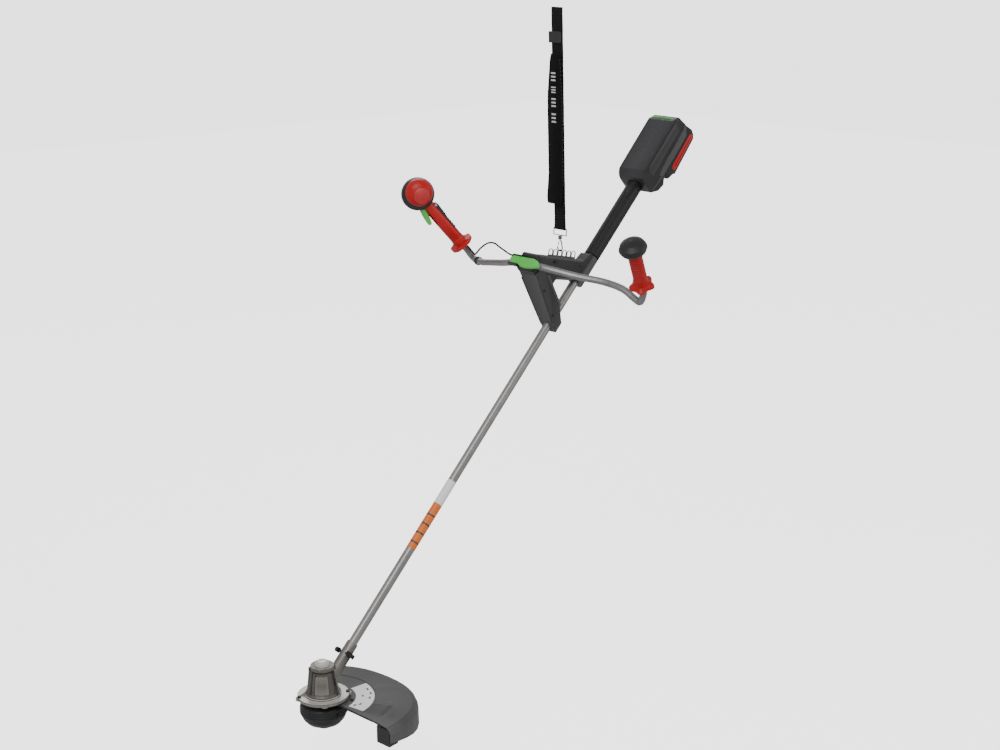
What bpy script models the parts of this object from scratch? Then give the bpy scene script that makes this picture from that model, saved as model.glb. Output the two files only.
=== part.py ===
"""Battery brush cutter with a bicycle handlebar, hung by its shoulder strap.

Metres, +Z up. The world origin is the top of the folded shoulder strap.
+X runs from the cutting head towards the battery, +Y towards the operator's right hand.
The tool is modelled in its own frame: local +X along the shaft towards the battery,
local +Z square to the shaft on the handlebar side, origin on the shaft's axis.
"""
from math import cos, pi, radians, sin

import bmesh
import bpy
from mathutils import Matrix, Vector

# ---------------------------------------------------------------- driving dimensions
GAP = 0.0003                        # clearance between neighbouring pieces
SHAFT_TILT = radians(45.6)          # the shaft's angle to the horizontal as it hangs
SHAFT_ROLL = radians(1.2)           # the guard's weight lets the left side hang a little lower
HOOK = Vector((0.0195, 0.0, -0.6485))   # where the tool hangs on its snap hook
HANG_S, HANG_H = 0.03285, 0.11184     # the hook's slot in the tool's frame

TUBE_R = 0.012
TUBE_WALL = 0.0016
TUBE_START, TUBE_END = -1.172, 0.330
REAR_R = 0.0220
REAR_DROP = 0.004                   # the rear tube's skin is this far off the shaft's axis
REAR_START, REAR_END = 0.098, 0.352

HEAD_S, HEAD_H = -1.305, -0.0100    # the centre of the motor flange in the tool's frame
HEAD_LEAN = radians(1.5)            # the motor axis leans this far off the vertical
FLANGE_R = 0.066
FLANGE_T = 0.007
BELL_BASE_R = 0.041
BELL_TOP_R = 0.030
BELL_TOP = 0.087
LINE_HEAD_R = 0.060

GUARD_DROP = 0.054
GUARD_T = 0.003

BAR_S, BAR_H = -0.068, 0.182        # the handlebar's axis at its clamp
BAR_R = 0.0095
LEFT_GRIP = (Vector((-0.0296, -0.3403, 0.1254)), Vector((0.2247, -0.1933, 0.9548)).normalized())
RIGHT_GRIP = (Vector((-0.0158, 0.3415, 0.1251)), Vector((0.1110, 0.2630, 0.9580)).normalized())

RING_Z = -0.598                     # the strap's ring
HOOK_WIRE_R = 0.0019
HOOK_BEND_R = 0.0085

COMB_PITCH = 0.0183
COMB_LOOPS = 6
COMB_HOLE_R = 0.0066
COMB_WIRE = 0.0018                  # the width of the metal round each loop
COMB_ARCH = 0.0128                  # the loops' round tops are centred this far above the comb's edge

CAP_OUTLINE = [(-0.0890, 0.1823), (-0.0890, 0.1895), (-0.0845, 0.1942), (-0.0580, 0.1942), (-0.0520, 0.1985),
               (-0.0440, 0.1995), (-0.0380, 0.1930), (-0.0400, 0.1823)]
PIN_Y, PIN_H, PIN_R = 0.0465, 0.1994, 0.0025
LEVER_T = 0.0088
LEVER_OUTLINE = [(-0.0640, 0.0520), (-0.0600, 0.0440), (-0.0603, 0.0200), (-0.0600, 0.0000), (-0.0592, -0.0267),
                 (-0.0640, -0.0440), (-0.0760, -0.0570), (-0.0830, -0.0540), (-0.0880, -0.0350),
                 (-0.0905, -0.0100), (-0.0885, 0.0080), (-0.0833, 0.0185), (-0.0833, 0.0440), (-0.0790, 0.0515),
                 (-0.0715, 0.0540)]

NECK_TOP = -1.1520

NECK_BOLT = (-1.1860, 0.0100)

LUG_ANGLES = (156, 66, -36, -126)
LUG_R = 0.0625

BAR_START = [(BAR_S, 0.0, BAR_H), (BAR_S, 0.031, BAR_H), (BAR_S + 0.001, 0.048, BAR_H - 0.003)]
BAR_RIGHT = [(-0.0637, 0.0852, 0.1634), (-0.0564, 0.1414, 0.1374), (-0.0453, 0.2108, 0.1063),
             (-0.0413, 0.2661, 0.0892), (-0.0319, 0.3070, 0.0787), (-0.0246, 0.3262, 0.0812)]
BAR_LEFT = [(-0.0613, 0.0849, 0.1644), (-0.0508, 0.1392, 0.1391), (-0.0371, 0.2063, 0.1148),
            (-0.0380, 0.2646, 0.1001), (-0.0499, 0.3038, 0.0843), (-0.0535, 0.3241, 0.0802)]

HEAD_AT = 0.198                     # the round head's centre along the throttle grip
HEAD_R = 0.047
HEAD_OUT = Vector((-0.46, -0.86, 0.18)).normalized()

TRIGGER_OUTLINE = [(-0.0265, 0.1660), (-0.0330, 0.1450), (-0.0365, 0.1250), (-0.0375, 0.1120), (-0.0340, 0.1085),
                   (-0.0290, 0.1100), (-0.0250, 0.1180), (-0.0205, 0.1320), (-0.0165, 0.1480), (-0.0150, 0.1660)]
LOCK_X, LOCK_Z = 0.0165, 0.086
LOCK_OUTLINE = [(-0.0040, 0.0000), (0.0030, 0.0000), (0.0060, 0.0160), (0.0080, 0.0480), (0.0060, 0.0580),
                (0.0015, 0.0580), (-0.0040, 0.0100)]
BUTTON_AT = Vector((0.0, 0.0, 0.1410))
BUTTON_OUT = Vector((cos(radians(50)), -sin(radians(50)), 0))

CABLE_R = 0.0026
CABLE_ROUTE = [(-0.0140, 0.3255, 0.1152), (-0.0221, 0.3098, 0.1069), (-0.0295, 0.2934, 0.1047),
               (-0.0276, 0.2822, 0.1105), (-0.0186, 0.2665, 0.1222), (-0.0092, 0.2404, 0.1366),
               (-0.0095, 0.2118, 0.1512), (-0.0149, 0.1811, 0.1620), (-0.0265, 0.1508, 0.1686),
               (-0.0364, 0.1219, 0.1732), (-0.0461, 0.0950, 0.1787), (-0.0520, 0.0726, 0.1843),
               (-0.0535, 0.0550, 0.1862), (-0.0530, 0.0410, 0.1860), (-0.0527, 0.0292, 0.1852)]

TIE_Y = 0.288                       # the cable's tie sits this far along the handlebar

HOUSING_PROFILE = [(0.350, 0.016), (0.354, 0.030), (0.370, 0.043), (0.548, 0.0465), (0.572, 0.033),
                   (0.578, -0.010), (0.560, -0.034), (0.424, -0.036), (0.398, -0.056), (0.372, -0.050),
                   (0.348, -0.028)]
PACK_PROFILE = [(0.4265, -0.0365), (0.5600, -0.0345), (0.5830, -0.0150), (0.5920, -0.0440), (0.5860, -0.0660),
                (0.4540, -0.0760), (0.4260, -0.0680)]
HOUSING_W = 0.092

COVER_PROFILE = [(0.4540, -0.0764), (0.5864, -0.0664), (0.5850, -0.0720), (0.5730, -0.0765), (0.4700, -0.0850),
                 (0.4570, -0.0835)]

# ---------------------------------------------------------------- scene and materials
for old in list(bpy.data.objects):
    bpy.data.objects.remove(old, do_unlink=True)

parts = bpy.data.collections.new("brush_cutter")
cutters = bpy.data.collections.new("cutters")
bpy.context.scene.collection.children.link(parts)
bpy.context.scene.collection.children.link(cutters)


def finish(name, rgb, roughness, metallic=0.0):
    """A Principled material with one colour."""
    mat = bpy.data.materials.new(name)
    mat.use_nodes = True
    shader = mat.node_tree.nodes["Principled BSDF"]
    shader.inputs["Base Color"].default_value = (*rgb, 1.0)
    shader.inputs["Roughness"].default_value = roughness
    shader.inputs["Metallic"].default_value = metallic
    return mat


BLACK = ("black_plastic", (0.03, 0.03, 0.032), 0.5)
RED = ("red_plastic", (0.50, 0.02, 0.02), 0.4)
GREEN = ("green_plastic", (0.09, 0.48, 0.09), 0.4)
GREY_TUBE = ("grey_tube", (0.20, 0.20, 0.19), 0.35, 0.6)
CAST = ("cast_aluminium", (0.42, 0.40, 0.37), 0.45, 0.8)
STEEL = ("steel", (0.6, 0.6, 0.6), 0.3, 1.0)
GUARD_GREY = ("guard_plastic", (0.11, 0.11, 0.115), 0.55)
WEBBING = ("webbing", (0.02, 0.02, 0.022), 0.9)
COPPER = ("copper", (0.6, 0.3, 0.15), 0.4, 1.0)
CELL = ("cell_wrap", (0.1, 0.25, 0.5), 0.5)
BOARD = ("circuit_board", (0.03, 0.2, 0.08), 0.6)
NYLON = ("nylon", (0.6, 0.25, 0.05), 0.5)


def empty(name, location, rotation=None, parent=None):
    """A frame for the pieces that are placed in it."""
    frame = bpy.data.objects.new(name, None)
    parts.objects.link(frame)
    frame.location = location
    if rotation is not None:
        frame.rotation_mode = "QUATERNION"
        frame.rotation_quaternion = rotation
    frame.parent = parent
    return frame


def add(name, mesh, look, parent=None, location=(0, 0, 0), smooth=True):
    """Put a mesh in the scene as a named piece with its own material."""
    piece = bpy.data.objects.new(name, mesh)
    parts.objects.link(piece)
    piece.data.materials.append(finish(name + "_" + look[0], *look[1:]))
    piece.parent = parent
    piece.location = location
    if smooth:
        mesh.shade_smooth()
        mesh.set_sharp_from_angle(angle=radians(35))
    return piece


def from_bmesh(bm):
    bmesh.ops.recalc_face_normals(bm, faces=bm.faces)
    mesh = bpy.data.meshes.new("mesh")
    bm.to_mesh(mesh)
    bm.free()
    return mesh


# ---------------------------------------------------------------- shapes
def box_mesh(size, taper=(1.0, 1.0), shift=(0.0, 0.0), offset=(0, 0, 0)):
    """A box centred on offset; its top face is scaled by taper and moved by shift in X and Y."""
    bm = bmesh.new()
    bmesh.ops.create_cube(bm, size=1.0)
    for v in bm.verts:
        top = v.co.z > 0
        v.co.x *= size[0] * (taper[0] if top else 1.0)
        v.co.y *= size[1] * (taper[1] if top else 1.0)
        v.co.z *= size[2]
        if top:
            v.co.x += shift[0]
            v.co.y += shift[1]
        v.co += Vector(offset)
    return from_bmesh(bm)


def bevel(piece, width, segments=2, angle=40):
    mod = piece.modifiers.new("round_edges", "BEVEL")
    mod.width = width
    mod.segments = segments
    mod.limit_method = "ANGLE"
    mod.angle_limit = radians(angle)
    return piece


def rod_mesh(radius, start, end, sides=24):
    """A solid round bar between two points."""
    start, end = Vector(start), Vector(end)
    bm = bmesh.new()
    bmesh.ops.create_cone(bm, cap_ends=True, segments=sides, radius1=radius, radius2=radius,
                          depth=(end - start).length)
    turn = (end - start).to_track_quat("Z", "Y").to_matrix().to_4x4()
    bmesh.ops.transform(bm, matrix=Matrix.Translation((start + end) / 2) @ turn, verts=bm.verts)
    return from_bmesh(bm)


def turned(name, profile, look, parent=None, location=(0, 0, 0), steps=32, closed=False, rotation=None):
    """A profile of (radius, height) points, top to bottom on its outer side, turned about Z."""
    bm = bmesh.new()
    verts = [bm.verts.new((r, 0.0, z)) for r, z in profile]
    for a, b in zip(verts, verts[1:]):
        bm.edges.new((a, b))
    if closed:
        bm.edges.new((verts[-1], verts[0]))
    mesh = bpy.data.meshes.new(name)
    bm.to_mesh(mesh)
    bm.free()
    piece = add(name, mesh, look, parent, location, smooth=False)
    screw = piece.modifiers.new("turn", "SCREW")
    screw.axis = "Z"
    screw.steps = steps
    screw.render_steps = steps
    screw.use_merge_vertices = True
    screw.merge_threshold = 0.00001
    screw.use_smooth_shade = True
    if rotation is not None:
        piece.rotation_mode = "QUATERNION"
        piece.rotation_quaternion = rotation
    return piece


def sleeve(name, outer, inner, low, high, look, parent=None, location=(0, 0, 0), steps=28, rotation=None):
    """A plain tube about Z from height low to high."""
    profile = [(outer, high), (outer, low), (inner, low), (inner, high)]
    return turned(name, profile, look, parent, location, steps, closed=True, rotation=rotation)


def plate(name, outline, thickness, look, parent=None, location=(0, 0, 0), rotation=None, holes=()):
    """A flat outline of (x, y) points with holes, extruded evenly each way along Z."""
    curve = bpy.data.curves.new(name, "CURVE")
    curve.dimensions = "2D"
    curve.fill_mode = "BOTH"
    curve.extrude = thickness / 2
    for ring in (outline, *holes):
        spline = curve.splines.new("POLY")
        spline.points.add(len(ring) - 1)
        for point, (x, y) in zip(spline.points, ring):
            point.co = (x, y, 0, 1)
        spline.use_cyclic_u = True
    return from_curve(name, curve, look, parent, location, rotation)


def wire(name, points, radius, look, parent=None, resolution=2, location=(0, 0, 0), cyclic=False):
    """A round wire or tube along a list of points, with closed ends."""
    curve = bpy.data.curves.new(name, "CURVE")
    curve.dimensions = "3D"
    curve.bevel_depth = radius
    curve.bevel_resolution = resolution
    curve.use_fill_caps = True
    spline = curve.splines.new("POLY")
    spline.points.add(len(points) - 1)
    for point, co in zip(spline.points, points):
        point.co = (*co, 1)
    spline.use_cyclic_u = cyclic
    return from_curve(name, curve, look, parent, location)


def from_curve(name, curve, look, parent, location, rotation=None):
    """Turn a curve into a welded mesh piece in the same place."""
    guide = bpy.data.objects.new(name + "_curve", curve)
    cutters.objects.link(guide)
    bpy.context.view_layer.update()
    mesh = bpy.data.meshes.new_from_object(guide.evaluated_get(bpy.context.evaluated_depsgraph_get()))
    bpy.data.objects.remove(guide, do_unlink=True)
    bm = bmesh.new()
    bm.from_mesh(mesh)
    bmesh.ops.remove_doubles(bm, verts=bm.verts, dist=0.00001)
    piece = add(name, from_bmesh(bm), look, parent, location)
    if rotation is not None:
        piece.rotation_mode = "QUATERNION"
        piece.rotation_quaternion = rotation
    return piece


def smooth_path(points, per_span):
    """Points read from a Catmull-Rom curve through the given ones."""
    pts = [Vector(p) for p in points]
    pts = [2 * pts[0] - pts[1]] + pts + [2 * pts[-1] - pts[-2]]
    out = []
    for a, b, c, d in zip(pts, pts[1:], pts[2:], pts[3:]):
        for i in range(per_span):
            t = i / per_span
            out.append(0.5 * ((2 * b) + (c - a) * t + (2 * a - 5 * b + 4 * c - d) * t ** 2
                              + (3 * b - a - 3 * c + d) * t ** 3))
    out.append(pts[-2])
    return out


def boolean(piece, mesh, operation="DIFFERENCE", location=None, rotation=None):
    """Cut a piece with a mesh in the piece's own frame, or join the mesh to it."""
    tool = bpy.data.objects.new(piece.name + "_cutter", mesh)
    cutters.objects.link(tool)
    tool.hide_render = True
    tool.display_type = "WIRE"
    tool.parent = piece
    if location is not None:
        tool.location = location
    if rotation is not None:
        tool.rotation_mode = "QUATERNION"
        tool.rotation_quaternion = rotation
    mod = piece.modifiers.new("cut", "BOOLEAN")
    mod.operation = operation
    mod.solver = "EXACT"
    mod.object = tool
    return piece


def arc(radius, start, end, count, centre=(0.0, 0.0)):
    """Points on an arc, its angles in degrees."""
    step = (end - start) / (count - 1)
    return [(centre[0] + radius * cos(radians(start + step * i)),
             centre[1] + radius * sin(radians(start + step * i))) for i in range(count)]


def along(axis):
    """The turn that takes +Z onto an axis."""
    return Vector(axis).to_track_quat("Z", "Y")


X_AXIS = Matrix.Rotation(pi / 2, 4, "Y").to_quaternion()
Y_AXIS = Matrix.Rotation(-pi / 2, 4, "X").to_quaternion()

tool_turn = Matrix.Rotation(-SHAFT_TILT, 4, "Y") @ Matrix.Rotation(SHAFT_ROLL, 4, "X")
tool = empty("tool_frame", HOOK - tool_turn @ Vector((HANG_S, 0, HANG_H)), tool_turn.to_quaternion())
head_turn = Matrix.Rotation(SHAFT_TILT - HEAD_LEAN, 4, "Y").to_quaternion()
head = empty("head_frame", (HEAD_S, 0, HEAD_H), head_turn, tool)


# ---------------------------------------------------------------- shoulder strap and hook
def shoulder_strap():
    """The folded webbing, its pad, the adjuster and the ring it ends in."""
    half_w, half_h = 0.0235, 0.009
    bar_z = RING_Z + half_h
    length = -bar_z
    lean = Matrix.Shear("XY", 4, (-HOOK.x / length, 0))
    webbing_mesh = box_mesh((0.004, 0.040, length), offset=(0, 0, -length / 2))
    webbing_mesh.transform(lean)
    webbing = add("strap_webbing", webbing_mesh, WEBBING)
    pad_mesh = box_mesh((0.016, 0.046, 0.37), (0.7, 0.8), offset=(-0.0112, 0, -0.305))
    pad_mesh.transform(lean)
    bevel(add("shoulder_pad", pad_mesh, WEBBING), 0.004)
    adjuster_mesh = box_mesh((0.006, 0.044, 0.030), offset=(-0.0054, 0.004, -0.078))
    adjuster_mesh.transform(lean)
    bevel(add("strap_adjuster", adjuster_mesh, BLACK), 0.002, 1)
    corners = [(-half_w, -half_h), (half_w, -half_h), (half_w, half_h), (-half_w, half_h)]
    wire("strap_ring", [(HOOK.x, y, RING_Z + z) for y, z in corners], 0.0018, STEEL, cyclic=True, resolution=1)
    boolean(webbing, rod_mesh(0.0045, (HOOK.x, -0.020, bar_z), (HOOK.x, 0.020, bar_z), 16), "UNION")
    boolean(webbing, rod_mesh(0.0022, (HOOK.x, -0.030, bar_z), (HOOK.x, 0.030, bar_z), 12))


def snap_hook():
    """The swivel eye, the hook and its sprung gate, hung in the ring."""
    x = HOOK.x
    eye_top = RING_Z - 0.0095
    sleeve("snap_hook_swivel", 0.0055, 0.0022, eye_top - 0.0105, eye_top - 0.0020, STEEL, None, (x, 0, 0), 16)
    centre = HOOK.z - GAP - HOOK_WIRE_R + HOOK_BEND_R
    bend = [(x, HOOK_BEND_R * cos(radians(a)), centre + HOOK_BEND_R * sin(radians(a)))
            for a in range(-200, 21, 20)]
    body = [(x, 0, eye_top - 0.0110), (x, 0, eye_top - 0.0135), (x, -0.0050, eye_top - 0.0165)]
    wire("snap_hook", body + bend, HOOK_WIRE_R, STEEL, resolution=2)
    gate_top = Vector((x, 0.0030, eye_top - 0.0170))
    gate_end = Vector((x, HOOK_BEND_R - 0.0006, centre + 0.0058))
    add("hook_gate", rod_mesh(0.0012, gate_top, gate_end, 10), STEEL)


# ---------------------------------------------------------------- shaft and bracket
def shaft():
    sleeve("shaft_tube", TUBE_R, TUBE_R - TUBE_WALL, TUBE_START, TUBE_END, GREY_TUBE, tool, rotation=X_AXIS)
    skin = rod_mesh(REAR_R, (REAR_START, 0, -REAR_DROP), (REAR_END, 0, -REAR_DROP), 32)
    rear = add("rear_tube", skin, BLACK, tool)
    boolean(rear, rod_mesh(TUBE_R + GAP, (0.0, 0, 0), (0.4, 0, 0), 28))
    add("motor_cable", rod_mesh(0.0035, (TUBE_START - 0.066, 0, 0), (TUBE_END + 0.004, 0, 0), 8), BLACK, tool)


def side_outline(name, outline, width, look, top_width=None, top=0.17):
    """An outline in the shaft's plane, extruded across it; it can widen linearly up to a height."""
    piece = plate(name, outline, width, look, tool)
    mesh = piece.data
    for v in mesh.vertices:
        s, h, y = v.co
        if top_width:
            y *= 1 + (top_width / width - 1) * max(0.0, h / top)
        v.co = (s, -y, h)
    return piece


def bracket():
    """The triangular bracket: two arms from the handlebar clamp to the shaft."""
    front = [(-0.088, 0.168), (-0.146, 0.0), (-0.152, -0.018), (-0.117, -0.018),
             (-0.085, 0.029), (-0.070, 0.083), (-0.0535, 0.140), (-0.049, 0.168)]
    lower = side_outline("lower_arm", front, 0.048, BLACK, 0.066)
    bevel(lower, 0.0035)
    boolean(lower, rod_mesh(TUBE_R + GAP, (-0.25, 0, 0), (0.0, 0, 0), 28))
    rear = [(-0.0483, 0.1680), (-0.0528, 0.140), (-0.0692, 0.083), (-0.043, 0.082), (-0.008, 0.030),
            (0.006, 0.017), (0.006, 0.0), (0.090, 0.0), (0.090, 0.0215), (0.0632, 0.0267), (-0.0300, 0.1730),
            (-0.0460, 0.1680)]
    upper = side_outline("upper_arm", rear, 0.036, BLACK)
    bevel(upper, 0.003)
    boolean(upper, rod_mesh(0.0225, (0.006, 0, -0.003), (0.094, 0, -0.003), 28), "UNION")
    boolean(upper, rod_mesh(TUBE_R + GAP, (-0.15, 0, 0), (0.2, 0, 0), 28))
    start, turn = comb_frame()
    run = COMB_PITCH * COMB_LOOPS
    slot = box_mesh((run + 0.0009, 0.0153, 0.0031), offset=(run / 2, -0.00365, 0))
    boolean(upper, slot, location=start, rotation=turn)


def comb_frame():
    """The hanger comb's corner and turn: its X runs down the upper arm, its Y stands off it."""
    run = Vector((0.092, 0, -0.1445)).normalized()
    up = Vector((-run.z, 0, run.x))
    basis = Matrix((run, up, run.cross(up))).transposed()
    hole = Vector((HANG_S, 0, HANG_H)) + Vector((-sin(SHAFT_TILT), 0, -cos(SHAFT_TILT))) * COMB_HOLE_R
    start = hole - run * COMB_PITCH * 2.5 - up * COMB_ARCH
    return start, basis.to_quaternion()


def hanger():
    """A thin steel comb let into the upper arm: six loops for the snap hook."""
    outline = [(0.0, -0.0110), (COMB_PITCH * COMB_LOOPS, -0.0110), (COMB_PITCH * COMB_LOOPS, 0.0030)]
    centres = [COMB_PITCH * (i + 0.5) for i in range(COMB_LOOPS)]
    outer = COMB_HOLE_R + COMB_WIRE
    for centre in reversed(centres):
        outline.append((centre + outer, 0.0030))
        outline += arc(outer, 0, 180, 9, (centre, COMB_ARCH))
        outline.append((centre - outer, 0.0030))
    outline.append((0.0, 0.0030))
    holes = []
    for centre in centres:
        flat = [(centre - COMB_HOLE_R, 0.0048), (centre + COMB_HOLE_R, 0.0048)]
        holes.append(flat + arc(COMB_HOLE_R, 0, 180, 9, (centre, COMB_ARCH)))
    start, turn = comb_frame()
    plate("hanger_plate", outline, 0.0025, STEEL, tool, start, turn, holes)


def bar_clamp():
    """The saddle on the bracket, the cap over the handlebar, the lever's pin and the lever."""
    saddle = add("clamp_saddle", box_mesh((0.042, 0.056, 0.013), offset=(BAR_S, 0, BAR_H - 0.0070)), BLACK, tool)
    cap = side_outline("clamp_cap", CAP_OUTLINE, 0.056, BLACK)
    bevel(cap, 0.002, 1)
    for low, high in ((-0.0886, -0.0841), (-0.0592, -0.0560)):
        ear = box_mesh((high - low, 0.032, 0.0105), offset=((low + high) / 2, 0.036, 0.1983))
        boolean(cap, ear, "UNION")
    for jaw in (saddle, cap):
        boolean(jaw, rod_mesh(BAR_R + 2 * GAP, (BAR_S, -0.1, BAR_H), (BAR_S, 0.1, BAR_H), 24))
    boolean(cap, rod_mesh(PIN_R, (-0.10, PIN_Y, PIN_H), (-0.05, PIN_Y, PIN_H), 12))
    add("clamp_pin", rod_mesh(PIN_R - GAP, (-0.0886, PIN_Y, PIN_H), (-0.0560, PIN_Y, PIN_H), 12), STEEL, tool)
    lever = plate("clamp_lever", LEVER_OUTLINE, LEVER_T, GREEN, tool, (0, 0, PIN_H))
    bevel(lever, 0.002, 1)
    boolean(lever, rod_mesh(PIN_R, (-0.10, PIN_Y, 0), (-0.05, PIN_Y, 0), 12))


# ---------------------------------------------------------------- motor head
def neck():
    """The cast neck: a socket for the shaft and a foot shaped to the motor's bell."""
    profile = [(0.0, 0.0), (0.0146, 0.0), (0.0152, -0.004), (0.0158, -0.055), (0.0158, -0.110), (0.0, -0.110)]
    piece = turned("head_neck", profile, CAST, tool, (NECK_TOP, 0, 0), 28, rotation=X_AXIS)
    boolean(piece, rod_mesh(TUBE_R + GAP, (0, 0, TUBE_START - GAP - NECK_TOP), (0, 0, 0.2), 26))
    boolean(piece, rod_mesh(0.0045, (0, 0, -0.1200), (0, 0, -0.01), 16))
    s, h = NECK_BOLT
    boolean(piece, rod_mesh(0.0034, (-h, -0.1, s - NECK_TOP), (-h, 0.1, s - NECK_TOP), 14))
    bell = bmesh.new()
    low, high = 0.010, 0.110
    slope = (BELL_BASE_R - 0.001 - BELL_TOP_R - 0.002) / 0.052
    radii = [BELL_TOP_R + 0.0030 + slope * (0.070 - z) for z in (low, high)]
    bmesh.ops.create_cone(bell, cap_ends=True, segments=40, radius1=radii[0], radius2=radii[1], depth=high - low)
    place = X_AXIS.to_matrix().to_4x4().inverted() @ Matrix.Translation((HEAD_S - NECK_TOP, 0, HEAD_H))
    place = place @ Matrix.Rotation(SHAFT_TILT - HEAD_LEAN, 4, "Y") @ Matrix.Translation((0, 0, (low + high) / 2))
    bmesh.ops.transform(bell, matrix=place, verts=bell.verts)
    boolean(piece, from_bmesh(bell))


def wing_bolt():
    """A bolt across the neck, its wing on the near side and a cap nut on the far side."""
    s, h = NECK_BOLT
    bolt = add("wing_bolt", rod_mesh(0.0030, (s, -0.0280, h), (s, 0.0196, h), 14), BLACK, tool)
    boolean(bolt, rod_mesh(0.0064, (s, -0.0270, h), (s, -0.0178, h), 18), "UNION")
    boolean(bolt, box_mesh((0.0110, 0.0036, 0.0300), offset=(s, -0.0262, h)), "UNION")
    nut = add("neck_cap_nut", rod_mesh(0.0070, (s, 0.0178, h), (s, 0.0280, h), 18), BLACK, tool)
    boolean(nut, rod_mesh(0.0033, (s, 0.0100, h), (s, 0.0220, h), 14))


def motor():
    """Bell and flange in one casting, vent cap, base plate, stator, rotor, shaft and bearings."""
    t = FLANGE_T
    bell = [(0.0, BELL_TOP), (BELL_TOP_R, BELL_TOP), (BELL_TOP_R + 0.001, BELL_TOP - 0.008),
            (BELL_TOP_R + 0.002, 0.070), (BELL_BASE_R - 0.001, 0.018), (BELL_BASE_R + 0.004, 0.014),
            (BELL_BASE_R + 0.004, t), (FLANGE_R, t), (FLANGE_R, 0.0), (0.0370, 0.0),
            (0.0370, 0.020), (0.0285, 0.074), (0.0040, 0.074), (0.0040, 0.080), (0.0, 0.080)]
    housing = turned("motor_housing", bell, CAST, head, steps=40)
    for angle in LUG_ANGLES:
        spot = Vector((cos(radians(angle)), sin(radians(angle)), 0)) * LUG_R
        boolean(housing, rod_mesh(0.0095, spot, spot + Vector((0, 0, t)), 18), "UNION")
    for angle in LUG_ANGLES:
        spot = Vector((cos(radians(angle)), sin(radians(angle)), 0)) * LUG_R
        boolean(housing, rod_mesh(0.0029, spot - Vector((0, 0, 0.01)), spot + Vector((0, 0, 0.02)), 12))
    turned("vent_cap", [(0.0, 0.0995), (0.012, 0.0985), (0.0185, 0.0945), (0.0200, 0.0875), (0.0, 0.0875)],
           CAST, head, steps=28)
    base = [(0.0365, 0.009), (0.0365, 0.0005), (0.0105, 0.0005), (0.0105, 0.009)]
    turned("motor_base", base, CAST, head, steps=28, closed=True)
    turned("lower_bearing", [(0.0100, 0.0085), (0.0100, 0.0015), (0.0054, 0.0015), (0.0054, 0.0085)],
           STEEL, head, steps=20, closed=True)
    turned("upper_bearing", [(0.0100, 0.0725), (0.0100, 0.0655), (0.0054, 0.0655), (0.0054, 0.0725)],
           STEEL, head, steps=20, closed=True)
    stator = [(0.0290, 0.052), (0.0290, 0.022), (0.0190, 0.022), (0.0190, 0.052)]
    turned("stator", stator, COPPER, head, steps=24, closed=True)
    rotor = [(0.0185, 0.050), (0.0185, 0.024), (0.0053, 0.024), (0.0053, 0.050)]
    turned("rotor", rotor, STEEL, head, steps=24, closed=True)
    turned("motor_shaft", [(0.0, 0.0735), (0.0050, 0.0735), (0.0050, -0.0530), (0.0, -0.0530)],
           STEEL, head, steps=16)


def flange_screws():
    """Two screws with round heads through the flange's lugs."""
    for number, angle in enumerate((156, -36), 1):
        spot = Vector((cos(radians(angle)), sin(radians(angle)), 0)) * LUG_R
        turned(f"flange_screw_{number}",
               [(0.0, 0.0118), (0.0048, 0.0110), (0.0052, FLANGE_T + GAP), (0.0026, FLANGE_T + GAP),
                (0.0026, -0.0040), (0.0, -0.0040)], STEEL, head, spot, 12)


def line_head():
    """The cutting head: housing, spool, wound line, two eyelets and the bump knob."""
    r = LINE_HEAD_R
    outer = [(0.0058, -0.0165), (r - 0.004, -0.0165), (r, -0.020), (r, -0.042), (r - 0.006, -0.056),
             (r - 0.016, -0.068), (0.0235, -0.0705), (0.0235, -0.0675), (r - 0.0180, -0.0650),
             (r - 0.0100, -0.054), (r - 0.004, -0.041), (r - 0.004, -0.0205), (0.0058, -0.0205)]
    housing = turned("line_head_housing", outer, BLACK, head, steps=32, closed=True)
    for side in (-1, 1):
        boolean(housing, rod_mesh(0.0042, (0, side * (r - 0.012), -0.033), (0, side * (r + 0.02), -0.033), 12))
    spool = [(0.046, -0.0225), (0.046, -0.0245), (0.026, -0.0245), (0.026, -0.0415), (0.046, -0.0415),
             (0.046, -0.0435), (0.0225, -0.0435), (0.0058, -0.0435), (0.0058, -0.0225)]
    turned("line_spool", spool, BLACK, head, steps=24, closed=True)
    winding = [(0.0430, -0.0255), (0.0430, -0.0405), (0.0263, -0.0405), (0.0263, -0.0255)]
    turned("line_winding", winding, NYLON, head, steps=24, closed=True)
    for name, side in (("eyelet_left", -1), ("eyelet_right", 1)):
        turn = Y_AXIS if side > 0 else Y_AXIS.inverted()
        ring = [(0.0065, 0.0030), (0.0065, 0.0005), (0.0038, 0.0005), (0.0038, -0.0040),
                (0.0020, -0.0040), (0.0020, 0.0030)]
        turned(name, ring, STEEL, head, (0, side * r, -0.033), 12, closed=True, rotation=turn)
    knob = [(0.0, -0.0600), (0.0225, -0.0600), (0.0228, -0.0760), (0.0180, -0.0830), (0.0, -0.0830)]
    turned("bump_knob", knob, BLACK, head, steps=24)


def guard_radius(angle):
    """The guard's outer edge grows from the far end to the near end (degrees about the motor)."""
    share = min(1.0, max(0.0, (8.0 - angle) / 72.0))
    return 0.208 + 0.040 * share * share * (3 - 2 * share)


def guard_drop(angle):
    """The skirt's depth: it is cut away towards its near end."""
    share = min(1.0, max(0.0, (-62.0 - angle) / 26.0))
    return GUARD_DROP - 0.020 * share


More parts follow.
